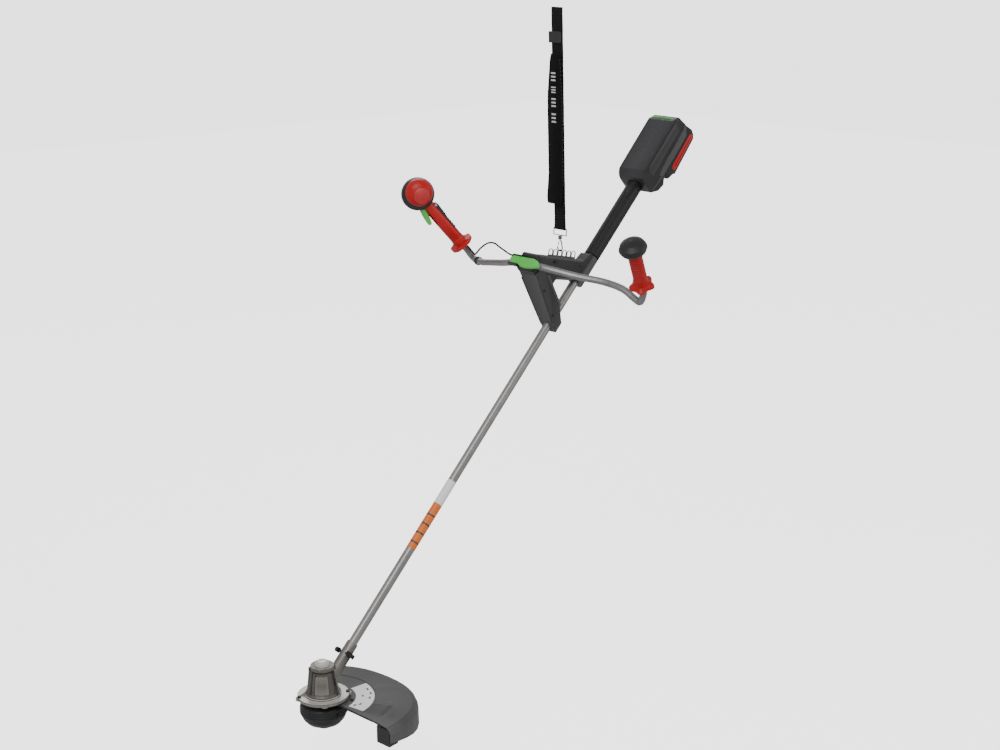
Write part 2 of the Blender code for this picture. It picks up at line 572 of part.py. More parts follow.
def guard():
    """A dished plate with a deep skirt, made as a shell, and the line cutter at its near end."""
    columns = 20
    first, last = 62.0, -88.0
    rows = [(0.0, 0.052, -0.0055), (0.0, 0.090, -0.0055), (1.0, -0.050, -0.0055), (1.0, -0.015, -0.0075),
            (1.0, -0.004, -0.0130), (1.0, 0.0, -0.0230), (1.0, 0.001, None)]
    bm = bmesh.new()
    grid = []
    for i in range(columns + 1):
        angle = first + (last - first) * i / columns
        edge = guard_radius(angle)
        line = []
        for share, extra, z in rows:
            r = share * edge + extra
            z = -0.0110 - guard_drop(angle) if z is None else z
            line.append(bm.verts.new((r * cos(radians(angle)), r * sin(radians(angle)), z)))
        grid.append(line)
    for a, b in zip(grid, grid[1:]):
        for j in range(len(rows) - 1):
            bm.faces.new((a[j], a[j + 1], b[j + 1], b[j]))
    mesh = from_bmesh(bm)
    piece = add("guard", mesh, GUARD_GREY, head)
    shell = piece.modifiers.new("thickness", "SOLIDIFY")
    shell.thickness = GUARD_T
    shell.offset = -1
    blade = add("line_cutter", box_mesh((0.0016, 0.026, 0.016)), STEEL, head)
    angle = radians(-84)
    r = guard_radius(-84) - 0.022
    blade.location = (r * cos(angle), r * sin(angle), -0.052)
    blade.rotation_euler = (0, 0, angle + pi / 2 + radians(90))


def guard_screws():
    for number, angle in enumerate((-15.0, -55.0), 1):
        spot = (0.075 * cos(radians(angle)), 0.075 * sin(radians(angle)), 0)
        turned(f"guard_screw_{number}", [(0.0, -0.0015), (0.0045, -0.0022), (0.0048, -0.0051), (0.0, -0.0051)],
               STEEL, head, spot, 12)


# ---------------------------------------------------------------- handlebar and grips
def bar_path(side):
    """One half of the handlebar's centreline, from the clamp to its end in the grip."""
    origin, axis = RIGHT_GRIP if side > 0 else LEFT_GRIP
    half = [(s, side * y, h) for s, y, h in BAR_START + (BAR_RIGHT if side > 0 else BAR_LEFT)]
    return half + [tuple(origin + axis * reach) for reach in (-0.026, -0.012, 0.0, 0.085)]


def handlebar():
    right = smooth_path(bar_path(1), 4)
    left = smooth_path(bar_path(-1), 4)
    wire("handlebar", list(reversed(left)) + right[1:], BAR_R, GREY_TUBE, tool, resolution=3)


def grip_frame(name, origin, axis):
    """A frame at a grip's flange: Z along the grip, X towards the operator."""
    across = (Vector((1, 0, 0)) - axis * axis.x).normalized()
    basis = Matrix((across, axis.cross(across), axis)).transposed()
    return empty(name, origin, basis.to_quaternion(), tool)


def left_grip():
    frame = grip_frame("left_grip_frame", *LEFT_GRIP)
    bore = BAR_R + GAP
    body = [(0.0185, 0.125), (0.0180, 0.020), (0.0200, 0.010), (0.0340, 0.004), (0.0340, -0.003),
            (0.0200, -0.006), (bore, -0.006), (bore, 0.125)]
    turned("left_grip", body, RED, frame, steps=28, closed=True)
    knob = [(0.0, 0.155), (0.0200, 0.152), (0.0325, 0.144), (0.0372, 0.133), (0.0340, 0.1255), (0.0, 0.1255)]
    turned("left_grip_knob", knob, BLACK, frame, steps=28)


def throttle_grip():
    """The right-hand grip: lower barrel, round head and cap, switch, trigger, lock-off and button."""
    frame = grip_frame("throttle_frame", *RIGHT_GRIP)
    bore = BAR_R + GAP
    body = [(0.0175, 0.160), (0.0182, 0.060), (0.0182, 0.020), (0.0205, 0.010), (0.0345, 0.004), (0.0345, -0.003),
            (0.0200, -0.006), (bore, -0.006), (bore, 0.160)]
    barrel = turned("throttle_barrel", body, RED, frame, steps=28, closed=True)
    boolean(barrel, box_mesh((0.0150, 0.0130, 0.062), offset=(0.0195, 0, 0.115)))
    boolean(barrel, box_mesh((0.0130, 0.0110, 0.065), offset=(-0.0170, 0, 0.1305)))
    shell = [(0.0, 0.030), (0.030, 0.030), (0.0440, 0.016), (HEAD_R, 0.002), (0.0450, -0.014), (0.036, -0.028),
             (0.020, -0.036), (0.0, -0.038)]
    turn = along(HEAD_OUT)
    head_shell = turned("throttle_head", shell, BLACK, frame, (0, 0, HEAD_AT), 32, rotation=turn)
    boolean(head_shell, rod_mesh(0.0260, (0, 0, 0.0), (0, 0, 0.05), 24))
    cup_cut = rod_mesh(0.0180, (0, 0, -0.08), (0, 0, 0.1604 - HEAD_AT), 28)
    boolean(head_shell, cup_cut, rotation=turn.inverted())
    trigger_slot = box_mesh((0.0210, 0.0112, 0.030), offset=(-0.0215, 0, 0.1585 - HEAD_AT))
    boolean(head_shell, trigger_slot, rotation=turn.inverted())
    cap = [(0.0, 0.041), (0.016, 0.040), (0.030, 0.0345), (0.0335, 0.0305), (0.0255, 0.0305),
           (0.0255, 0.024), (0.0, 0.024)]
    turned("throttle_cap", cap, RED, frame, (0, 0, HEAD_AT), 28, rotation=turn)
    add("throttle_switch", box_mesh((0.014, 0.014, 0.011)), BLACK, frame)
    switch = bpy.data.objects["throttle_switch"]
    switch.location = Vector((0, 0, HEAD_AT)) + HEAD_OUT * 0.0125
    trigger = plate("trigger", TRIGGER_OUTLINE, 0.0095, GREEN, frame, (0, 0, 0),
                    Matrix.Rotation(pi / 2, 4, "X").to_quaternion())
    bevel(trigger, 0.0015, 1)
    lock = plate("lock_off_lever", LOCK_OUTLINE, 0.0115, BLACK, frame, (LOCK_X, 0, LOCK_Z),
                 Matrix.Rotation(pi / 2, 4, "X").to_quaternion())
    bevel(lock, 0.0015, 1)
    button = rod_mesh(0.0042, BUTTON_AT + BUTTON_OUT * 0.0125, BUTTON_AT + BUTTON_OUT * 0.0205, 14)
    boolean(barrel, rod_mesh(0.0045, BUTTON_AT + BUTTON_OUT * 0.005, BUTTON_AT + BUTTON_OUT * 0.03, 14))
    add("power_button", button, STEEL, frame)


def throttle_cable():
    """The cable from the throttle grip to the clamp, and the tie that holds it to the bar."""
    wire("throttle_cable", smooth_path(CABLE_ROUTE, 4), CABLE_R, BLACK, tool, resolution=2)
    bar = smooth_path(bar_path(1), 4)
    near = min(range(1, len(bar) - 1), key=lambda i: abs(bar[i].y - TIE_Y))
    sleeve("cable_tie", BAR_R + 0.0032, BAR_R + 2 * GAP, -0.0028, 0.0028, BLACK, tool, bar[near], 20,
           rotation=along(bar[near + 1] - bar[near - 1]))


# ---------------------------------------------------------------- battery end
def housing():
    """Two shells that meet on the shaft's plane, the board and the terminal block."""
    inner = [(0.362, 0.020), (0.374, 0.036), (0.540, 0.0385), (0.560, 0.028), (0.567, -0.008), (0.553, -0.027),
             (0.420, -0.029), (0.396, -0.046), (0.381, -0.041), (0.362, -0.022)]
    shell = side_outline("housing_left", HOUSING_PROFILE, HOUSING_W, BLACK)
    mesh = shell.data
    for v in mesh.vertices:
        v.co.y = min(v.co.y, -GAP / 2)
    weights = mesh.attributes.new("bevel_weight_edge", "FLOAT", "EDGE")
    for edge, weight in zip(mesh.edges, weights.data):
        ends = [mesh.vertices[i].co.y for i in edge.vertices]
        weight.value = 1.0 if min(ends) < -GAP else 0.0
    bevel(shell, 0.007, 2).modifiers["round_edges"].limit_method = "WEIGHT"
    cavity = side_outline("cavity", inner, HOUSING_W - 0.013, BLACK).data
    bpy.data.objects.remove(bpy.data.objects["cavity"], do_unlink=True)
    boolean(shell, cavity)
    boolean(shell, rod_mesh(REAR_R + 2 * GAP, (0.30, 0, -REAR_DROP), (0.354, 0, -REAR_DROP), 32))
    boolean(shell, rod_mesh(TUBE_R + GAP, (0.30, 0, 0), (0.37, 0, 0), 28))
    boolean(shell, box_mesh((0.030, 0.040, 0.020), offset=(0.500, 0, -0.034)))
    bpy.context.view_layer.update()
    other = bpy.data.meshes.new_from_object(shell.evaluated_get(bpy.context.evaluated_depsgraph_get()))
    other.transform(Matrix.Scale(-1, 4, (0, 1, 0)))
    other.flip_normals()
    other.materials.clear()
    add("housing_right", other, BLACK, tool)
    add("controller_board", box_mesh((0.110, 0.070, 0.0018), offset=(0.470, 0, 0.020)), BOARD, tool)
    add("terminal_block", box_mesh((0.028, 0.038, 0.019), offset=(0.500, 0, -0.0230)), BLACK, tool)


def battery():
    """The slide-in pack: its case, the red cover, the block of cells and the sprung latch."""
    case = side_outline("battery_case", PACK_PROFILE, 0.078, BLACK)
    bevel(case, 0.006, 2)
    boolean(case, box_mesh((0.104, 0.062, 0.0600), offset=(0.508, 0, -0.0730)))
    boolean(case, box_mesh((0.036, 0.0270, 0.0140), offset=(0.592, 0, -0.0330)))
    cells = add("battery_cells", box_mesh((0.100, 0.058, 0.0236), offset=(0.508, 0, -0.0554)), CELL, tool)
    bevel(cells, 0.004, 1)
    cover = side_outline("battery_cover", COVER_PROFILE, 0.066, RED)
    bevel(cover, 0.002, 1)
    latch = add("battery_latch", box_mesh((0.013, 0.0260, 0.0126), offset=(0.5850, 0, -0.0330)), RED, tool)
    bevel(latch, 0.001, 1)


# ---------------------------------------------------------------- run
shoulder_strap()
snap_hook()
shaft()
bracket()
hanger()
bar_clamp()
neck()
wing_bolt()
motor()
flange_screws()
line_head()
guard()
guard_screws()
handlebar()
left_grip()
throttle_grip()
throttle_cable()
housing()
battery()
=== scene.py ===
"""The looks of the brush cutter: materials, strap, cable, grips and finished details.

Metres, +Z up, in the frame of the CAD model. Tool frame: X along the shaft towards the
battery, Z square to it on the handlebar side. Head frame: Z up the motor's axis.
"""

from math import cos, pi, radians, sin, sqrt

import bmesh
import bpy
from mathutils import Matrix, Vector


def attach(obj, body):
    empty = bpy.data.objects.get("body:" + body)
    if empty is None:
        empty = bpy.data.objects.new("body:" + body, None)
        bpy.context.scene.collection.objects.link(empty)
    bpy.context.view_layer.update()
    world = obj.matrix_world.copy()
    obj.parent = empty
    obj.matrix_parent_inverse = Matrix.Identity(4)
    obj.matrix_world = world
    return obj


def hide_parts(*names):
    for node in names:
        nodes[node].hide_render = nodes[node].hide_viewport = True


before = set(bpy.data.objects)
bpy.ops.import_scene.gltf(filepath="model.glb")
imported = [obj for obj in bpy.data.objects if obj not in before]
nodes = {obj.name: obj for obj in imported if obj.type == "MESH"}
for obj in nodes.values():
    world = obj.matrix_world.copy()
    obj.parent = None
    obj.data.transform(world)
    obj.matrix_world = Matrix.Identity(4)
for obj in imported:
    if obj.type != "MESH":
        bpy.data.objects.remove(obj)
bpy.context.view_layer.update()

# ---------------------------------------------------------------- frames
HOOK = Vector((0.0195, 0.0, -0.6485))
HANG = Vector((0.03285, 0.0, 0.11184))
SHAFT_TILT, SHAFT_ROLL = radians(45.6), radians(1.2)
HEAD_LEAN = radians(1.5)
RING_Z = -0.598
TUBE_R, BAR_R = 0.012, 0.0095
VIEW_TURN, VIEW_DOWN = radians(44), radians(14.68)  # the way the camera faces, from +Y and below level

tool_turn = Matrix.Rotation(-SHAFT_TILT, 4, "Y") @ Matrix.Rotation(SHAFT_ROLL, 4, "X")
TOOL = Matrix.Translation(HOOK - tool_turn @ HANG) @ tool_turn
HEAD = TOOL @ Matrix.Translation((-1.305, 0, -0.0100)) @ Matrix.Rotation(SHAFT_TILT - HEAD_LEAN, 4, "Y")


def grip_frame(origin, axis):
    """Z along the grip, X towards the operator."""
    axis = Vector(axis).normalized()
    across = (Vector((1, 0, 0)) - axis * axis.x).normalized()
    basis = Matrix((across, axis.cross(across), axis)).transposed().to_4x4()
    return TOOL @ Matrix.Translation(origin) @ basis


LEFT = grip_frame((-0.0296, -0.3403, 0.1254), (0.2247, -0.1933, 0.9548))
RIGHT = grip_frame((-0.0158, 0.3415, 0.1251), (0.1110, 0.2630, 0.9580))
X_TURN = Matrix.Rotation(pi / 2, 4, "Y")


# ---------------------------------------------------------------- materials
def node(tree, kind, **values):
    """A shader node with its properties or inputs set by name."""
    made = tree.nodes.new(kind)
    for key, value in values.items():
        if hasattr(made, key):
            setattr(made, key, value)
        else:
            made.inputs[key.replace("_", " ")].default_value = value
    return made


def material(name, low, high, rough=(0.4, 0.5), metallic=0.0, scale=60, grain=600, bump=0.1,
             depth=0.0003, sheen=0.0, specular=0.5, fine=None, edge_highlight=None):
    """Colour and roughness that drift over the surface, with a fine grain and a lighter colour on sharp edges, a
    painted edge highlight.
    """
    mat = bpy.data.materials.new(name)
    mat.use_nodes = True
    tree = mat.node_tree
    shader = tree.nodes["Principled BSDF"]
    shader.inputs["Metallic"].default_value = metallic
    shader.inputs["Sheen Weight"].default_value = sheen
    shader.inputs["Specular IOR Level"].default_value = specular
    place = tree.nodes.new("ShaderNodeTexCoord")
    drift = node(tree, "ShaderNodeTexNoise", Scale=scale, Detail=5.0, Roughness=0.6)
    tree.links.new(place.outputs["Object"], drift.inputs["Vector"])
    ramp = tree.nodes.new("ShaderNodeValToRGB")
    ramp.color_ramp.elements[0].position = 0.3
    ramp.color_ramp.elements[1].position = 0.7
    ramp.color_ramp.elements[0].color = (*low, 1)
    ramp.color_ramp.elements[1].color = (*high, 1)
    tree.links.new(drift.outputs["Fac"], ramp.inputs["Fac"])
    colour = ramp.outputs["Color"]
    # Sharp edges, where pointiness is high, take a lighter colour: a painted edge highlight.
    if edge_highlight:
        geometry = tree.nodes.new("ShaderNodeNewGeometry")
        edge = tree.nodes.new("ShaderNodeValToRGB")
        edge.color_ramp.elements[0].position = 0.52
        edge.color_ramp.elements[1].position = 0.60
        tree.links.new(geometry.outputs["Pointiness"], edge.inputs["Fac"])
        mix = tree.nodes.new("ShaderNodeMixRGB")
        mix.inputs["Color2"].default_value = (*edge_highlight, 1)
        tree.links.new(edge.outputs["Color"], mix.inputs["Fac"])
        tree.links.new(colour, mix.inputs["Color1"])
        colour = mix.outputs["Color"]
    tree.links.new(colour, shader.inputs["Base Color"])
    spread = tree.nodes.new("ShaderNodeMapRange")
    spread.inputs["To Min"].default_value = rough[0]
    spread.inputs["To Max"].default_value = rough[1]
    tree.links.new(drift.outputs["Fac"], spread.inputs["Value"])
    tree.links.new(spread.outputs["Result"], shader.inputs["Roughness"])
    if fine is None:
        fine = node(tree, "ShaderNodeTexNoise", Scale=grain, Detail=3.0)
        tree.links.new(place.outputs["Object"], fine.inputs["Vector"])
        height = fine.outputs["Fac"]
    else:
        height = fine(tree, place.outputs["Object"])
    relief = tree.nodes.new("ShaderNodeBump")
    relief.inputs["Strength"].default_value = bump
    relief.inputs["Distance"].default_value = depth
    tree.links.new(height, relief.inputs["Height"])
    tree.links.new(relief.outputs["Normal"], shader.inputs["Normal"])
    return mat


def weave(pitch):
    """Crossed threads: two wave textures multiplied."""
    def build(tree, coords):
        waves = []
        for axis in ("Y", "Z"):
            wave = tree.nodes.new("ShaderNodeTexWave")
            wave.bands_direction = axis
            wave.inputs["Scale"].default_value = 1 / pitch / 3.14
            wave.inputs["Distortion"].default_value = 0.4
            tree.links.new(coords, wave.inputs["Vector"])
            waves.append(wave.outputs["Fac"])
        both = tree.nodes.new("ShaderNodeMath")
        both.operation = "MULTIPLY"
        tree.links.new(waves[0], both.inputs[0])
        tree.links.new(waves[1], both.inputs[1])
        return both.outputs["Value"]
    return build


# The colour given last to these materials is a painted highlight on their sharp edges.
BLACK = material("black_plastic_grained", (0.006, 0.006, 0.0065), (0.010, 0.010, 0.0105), (0.36, 0.5),
                 grain=1400, bump=0.25, specular=0.35, edge_highlight=(0.03, 0.03, 0.032))
SHELL = material("housing_plastic", (0.007, 0.0075, 0.008), (0.012, 0.012, 0.0125), (0.28, 0.4),
                 grain=1600, bump=0.2, specular=0.4, edge_highlight=(0.05, 0.05, 0.055))
ARM = material("arm_plastic", (0.010, 0.010, 0.0105), (0.016, 0.016, 0.0165), (0.34, 0.48), grain=1500,
               bump=0.25, specular=0.4, edge_highlight=(0.08, 0.08, 0.08))
RED = material("red_plastic_satin", (0.42, 0.002, 0.003), (0.54, 0.005, 0.006), (0.30, 0.42), grain=900,
               bump=0.12, specular=0.35, edge_highlight=(0.60, 0.02, 0.02))
GREEN = material("green_plastic_satin", (0.02, 0.52, 0.02), (0.035, 0.64, 0.03), (0.30, 0.42), grain=900,
                 bump=0.12, specular=0.35, edge_highlight=(0.14, 0.62, 0.12))
TUBE = material("shaft_paint", (0.27, 0.265, 0.255), (0.33, 0.325, 0.315), (0.28, 0.38), 0.6, scale=40,
                grain=2200, bump=0.08)
BAR = material("bar_paint", (0.22, 0.22, 0.22), (0.28, 0.28, 0.28), (0.28, 0.38), 0.6, scale=50,
               grain=2000, bump=0.08)
CAST = material("cast_metal", (0.13, 0.122, 0.11), (0.18, 0.17, 0.155), (0.36, 0.5), 0.7, scale=120,
                grain=1100, bump=0.35, depth=0.0004, edge_highlight=(0.34, 0.32, 0.30))
CAST_LIGHT = material("cast_metal_machined", (0.62, 0.61, 0.58), (0.74, 0.73, 0.70), (0.25, 0.38), 0.5,
                      scale=120, grain=900, bump=0.2)
GUARD = material("guard_plastic_grained", (0.040, 0.040, 0.041), (0.055, 0.055, 0.056), (0.42, 0.56),
                 scale=30, grain=1200, bump=0.4, depth=0.0004, specular=0.4, edge_highlight=(0.10, 0.10, 0.10))
STEEL = material("zinc_steel", (0.16, 0.16, 0.158), (0.26, 0.26, 0.255), (0.24, 0.4), 1.0, scale=200,
                 grain=1800, bump=0.1)
DARK_STEEL = material("blackened_steel", (0.03, 0.03, 0.03), (0.06, 0.06, 0.06), (0.3, 0.45), 0.8,
                      scale=200, grain=1500, bump=0.15)
RUBBER = material("rubber_matt", (0.006, 0.006, 0.006), (0.010, 0.010, 0.010), (0.5, 0.65), grain=1500,
                  bump=0.3, specular=0.3)
SLEEVE = material("rear_tube_skin", (0.008, 0.008, 0.0085), (0.013, 0.013, 0.0135), (0.40, 0.52),
                  grain=1500, bump=0.3, specular=0.35)
CLOTH = material("webbing_weave", (0.004, 0.004, 0.0045), (0.008, 0.008, 0.0085), (0.8, 0.92), scale=90,
                 bump=0.8, depth=0.0005, sheen=0.05, specular=0.2, fine=weave(0.0016))
PAD = material("pad_fabric", (0.003, 0.003, 0.0035), (0.006, 0.006, 0.0065), (0.82, 0.94), scale=60,
               bump=0.6, depth=0.0004, sheen=0.05, specular=0.15, fine=weave(0.0024))
THREAD = material("stitching", (0.03, 0.03, 0.032), (0.05, 0.05, 0.052), (0.6, 0.75), scale=300,
                  grain=2500, bump=0.4)
THREAD_PALE = material("pale_thread", (0.55, 0.55, 0.55), (0.68, 0.68, 0.68), (0.6, 0.75), scale=300,
                       grain=2500, bump=0.4)
COPPER = material("wound_copper", (0.50, 0.22, 0.09), (0.62, 0.30, 0.14), (0.3, 0.4), 0.9, scale=150,
                  grain=1500, bump=0.3)
NYLON = material("nylon_line", (0.62, 0.22, 0.03), (0.72, 0.28, 0.05), (0.25, 0.35), scale=200, grain=900,
                 bump=0.3)
BOARD = material("circuit_board", (0.02, 0.14, 0.05), (0.03, 0.19, 0.07), (0.35, 0.5), scale=200,
                 grain=900, bump=0.2)
CELLS = material("cell_wrap", (0.06, 0.18, 0.42), (0.08, 0.23, 0.50), (0.3, 0.4), scale=80, grain=900,
                 bump=0.15)
GREY = material("side_band_grey", (0.05, 0.05, 0.052), (0.07, 0.07, 0.072), (0.3, 0.42), scale=60,
                grain=1500, bump=0.15)
RIM = material("rim_grey", (0.060, 0.060, 0.061), (0.085, 0.085, 0.086), (0.32, 0.45), scale=80,
               grain=1500, bump=0.2)
DEEP_RED = material("red_plastic_deep", (0.20, 0.002, 0.003), (0.26, 0.003, 0.004), (0.32, 0.42),
                    grain=900, bump=0.1)
RED_PALE = material("red_plastic_disc", (0.50, 0.02, 0.024), (0.58, 0.032, 0.034), (0.34, 0.44),
                    grain=900, bump=0.1)
WHITE = material("pale_label", (0.93, 0.93, 0.92), (0.97, 0.97, 0.96), (0.35, 0.45), scale=40, grain=1500,
                 bump=0.05)
ORANGE = material("orange_label", (0.80, 0.16, 0.012), (0.88, 0.21, 0.02), (0.35, 0.45), scale=60,
                  grain=1500, bump=0.05)
BUTTON = material("button_white", (0.62, 0.62, 0.60), (0.70, 0.70, 0.68), (0.3, 0.4), scale=200,
                  grain=1500, bump=0.1)
INK = material("label_ink", (0.05, 0.05, 0.05), (0.08, 0.08, 0.08), (0.4, 0.5), scale=200, grain=1500,
               bump=0.05)

LOOKS = {
    BLACK: "throttle_head throttle_switch lock_off_lever clamp_saddle clamp_cap line_head_housing "
           "line_spool bump_knob terminal_block strap_adjuster cable_tie left_grip_knob battery_case battery_cover",
    SHELL: "housing_left housing_right",
    ARM: "upper_arm lower_arm",
    RED: "left_grip throttle_barrel throttle_cap battery_latch",
    GREEN: "clamp_lever trigger",
    TUBE: "shaft_tube",
    BAR: "handlebar",
    GUARD: "guard",
    CAST: "head_neck motor_housing motor_base",
    CAST_LIGHT: "vent_cap",
    STEEL: "strap_ring snap_hook_swivel snap_hook hook_gate hanger_plate clamp_pin upper_bearing "
           "lower_bearing rotor motor_shaft",
    DARK_STEEL: "eyelet_left eyelet_right line_cutter wing_bolt neck_cap_nut flange_screw_1 flange_screw_2 "
                "guard_screw_1 guard_screw_2",
    BUTTON: "power_button",
    CLOTH: "strap_webbing",
    PAD: "shoulder_pad",
    RUBBER: "throttle_cable motor_cable",
    SLEEVE: "rear_tube",
    COPPER: "stator",
    NYLON: "line_winding",
    BOARD: "controller_board",
    CELLS: "battery_cells",
}
for mat, names in LOOKS.items():
    for name in names.split():
        mesh = nodes[name].data
        mesh.materials.clear()
        mesh.materials.append(mat)
        mesh.shade_smooth()
        mesh.set_sharp_from_angle(angle=radians(32))


# ---------------------------------------------------------------- shapes
def put(name, bm, mat, body, place=None, sharp=35):
    """A finished mesh, placed in the row frame, riding on its body."""
    if place is not None:
        bmesh.ops.transform(bm, matrix=place, verts=bm.verts)
    bmesh.ops.recalc_face_normals(bm, faces=bm.faces)
    mesh = bpy.data.meshes.new(name)
    bm.to_mesh(mesh)
    bm.free()
    mesh.shade_smooth()
    mesh.set_sharp_from_angle(angle=radians(sharp))
    obj = bpy.data.objects.new(name, mesh)
    bpy.context.scene.collection.objects.link(obj)
    mesh.materials.append(mat)
    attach(obj, body)
    return obj


def lofted(rings, closed_ends=True, closed_loop=False):
    """Rings of points joined side to side."""
    bm = bmesh.new()
    made = [[bm.verts.new(p) for p in ring] for ring in rings]
    pairs = list(zip(made, made[1:])) + ([(made[-1], made[0])] if closed_loop else [])
    for a, b in pairs:
        for i in range(len(a)):
            j = (i + 1) % len(a)
            bm.faces.new((a[i], a[j], b[j], b[i]))
    if closed_ends and not closed_loop:
        bm.faces.new(list(reversed(made[0])))
        bm.faces.new(made[-1])
    return bm


def turned(profile, steps=48, wobble=None):
    """Closed (radius, z) profile turned about Z; wobble(angle, r, z) changes the radius."""
    rings = []
    for k in range(steps):
        angle = 2 * pi * k / steps
        ring = []
        for r, z in profile:
            s = wobble(angle, r, z) if wobble else r
            ring.append((s * cos(angle), s * sin(angle), z))
        rings.append(ring)
    return lofted(rings, closed_loop=True)


def smooth_path(points, per_span):
    """Points read from a Catmull-Rom curve through the given ones."""
    pts = [Vector(p) for p in points]
    pts = [2 * pts[0] - pts[1]] + pts + [2 * pts[-1] - pts[-2]]
    out = []
    for a, b, c, d in zip(pts, pts[1:], pts[2:], pts[3:]):
        for i in range(per_span):
            t = i / per_span
            out.append(0.5 * ((2 * b) + (c - a) * t + (2 * a - 5 * b + 4 * c - d) * t ** 2
                              + (3 * b - a - 3 * c + d) * t ** 3))
    out.append(pts[-2])
    return out


def swept(points, radius, sides=10, flat=1.0):
    """A round or flattened bar along a path, with closed ends."""
    pts = [Vector(p) for p in points]
    rings = []
    up = Vector((0, 1, 0))
    for i, p in enumerate(pts):
        ahead = (pts[min(i + 1, len(pts) - 1)] - pts[max(i - 1, 0)]).normalized()
        side = ahead.cross(up).normalized()
        top = side.cross(ahead)
        ring = []
        for k in range(sides):
            a = 2 * pi * k / sides
            ring.append(p + side * (radius * cos(a)) + top * (radius * flat * sin(a)))
        rings.append(ring)
    return lofted(rings)


# ---------------------------------------------------------------- the cable
CABLE_ROUTE = [(-0.0140, 0.3255, 0.1152), (-0.0221, 0.3098, 0.1069), (-0.0295, 0.2934, 0.1047),
               (-0.0276, 0.2822, 0.1105), (-0.0186, 0.2665, 0.1222), (-0.0092, 0.2404, 0.1366),
               (-0.0095, 0.2118, 0.1512), (-0.0149, 0.1811, 0.1620), (-0.0265, 0.1508, 0.1686),
               (-0.0364, 0.1219, 0.1732), (-0.0461, 0.0950, 0.1787), (-0.0520, 0.0726, 0.1843),
               (-0.0535, 0.0550, 0.1862), (-0.0530, 0.0410, 0.1860), (-0.0527, 0.0292, 0.1852)]
CABLE_R = 0.0026

BAND_HALF = 0.0195                  # half the webbing's width
BAND_BEND_R = 0.0031                # the webbing turns round the ring's wire at this radius
BAND_GAP = 0.0009                   # each layer stands this far from the strap's middle
BAND_THICK = 0.0012
PAD_TOP, PAD_LOW = -0.121, -0.520
PAD_OUT = 0.0096                    # the pad's middle lies this far in front of the strap's


def throttle_cable():
    """The free cable from the throttle grip to the clamp."""
    route = [TOOL @ p for p in smooth_path(CABLE_ROUTE, 4)]
    curve = bpy.data.curves.new("cable_sheath", "CURVE")
    curve.dimensions = "3D"
    curve.bevel_depth = CABLE_R
    curve.bevel_resolution = 5
    curve.use_fill_caps = True
    spline = curve.splines.new("POLY")
    spline.points.add(len(route) - 1)
    for point, co in zip(spline.points, route):
        point.co = (*co, 1)
    obj = bpy.data.objects.new("cable_sheath", curve)
    bpy.context.scene.collection.objects.link(obj)
    curve.materials.append(RUBBER)
    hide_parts("throttle_cable")
    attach(obj, "bar")


# ---------------------------------------------------------------- strap
def lean(z):
    """The strap's middle is this far along X at a height."""
    return HOOK.x * z / (RING_Z + 0.009)


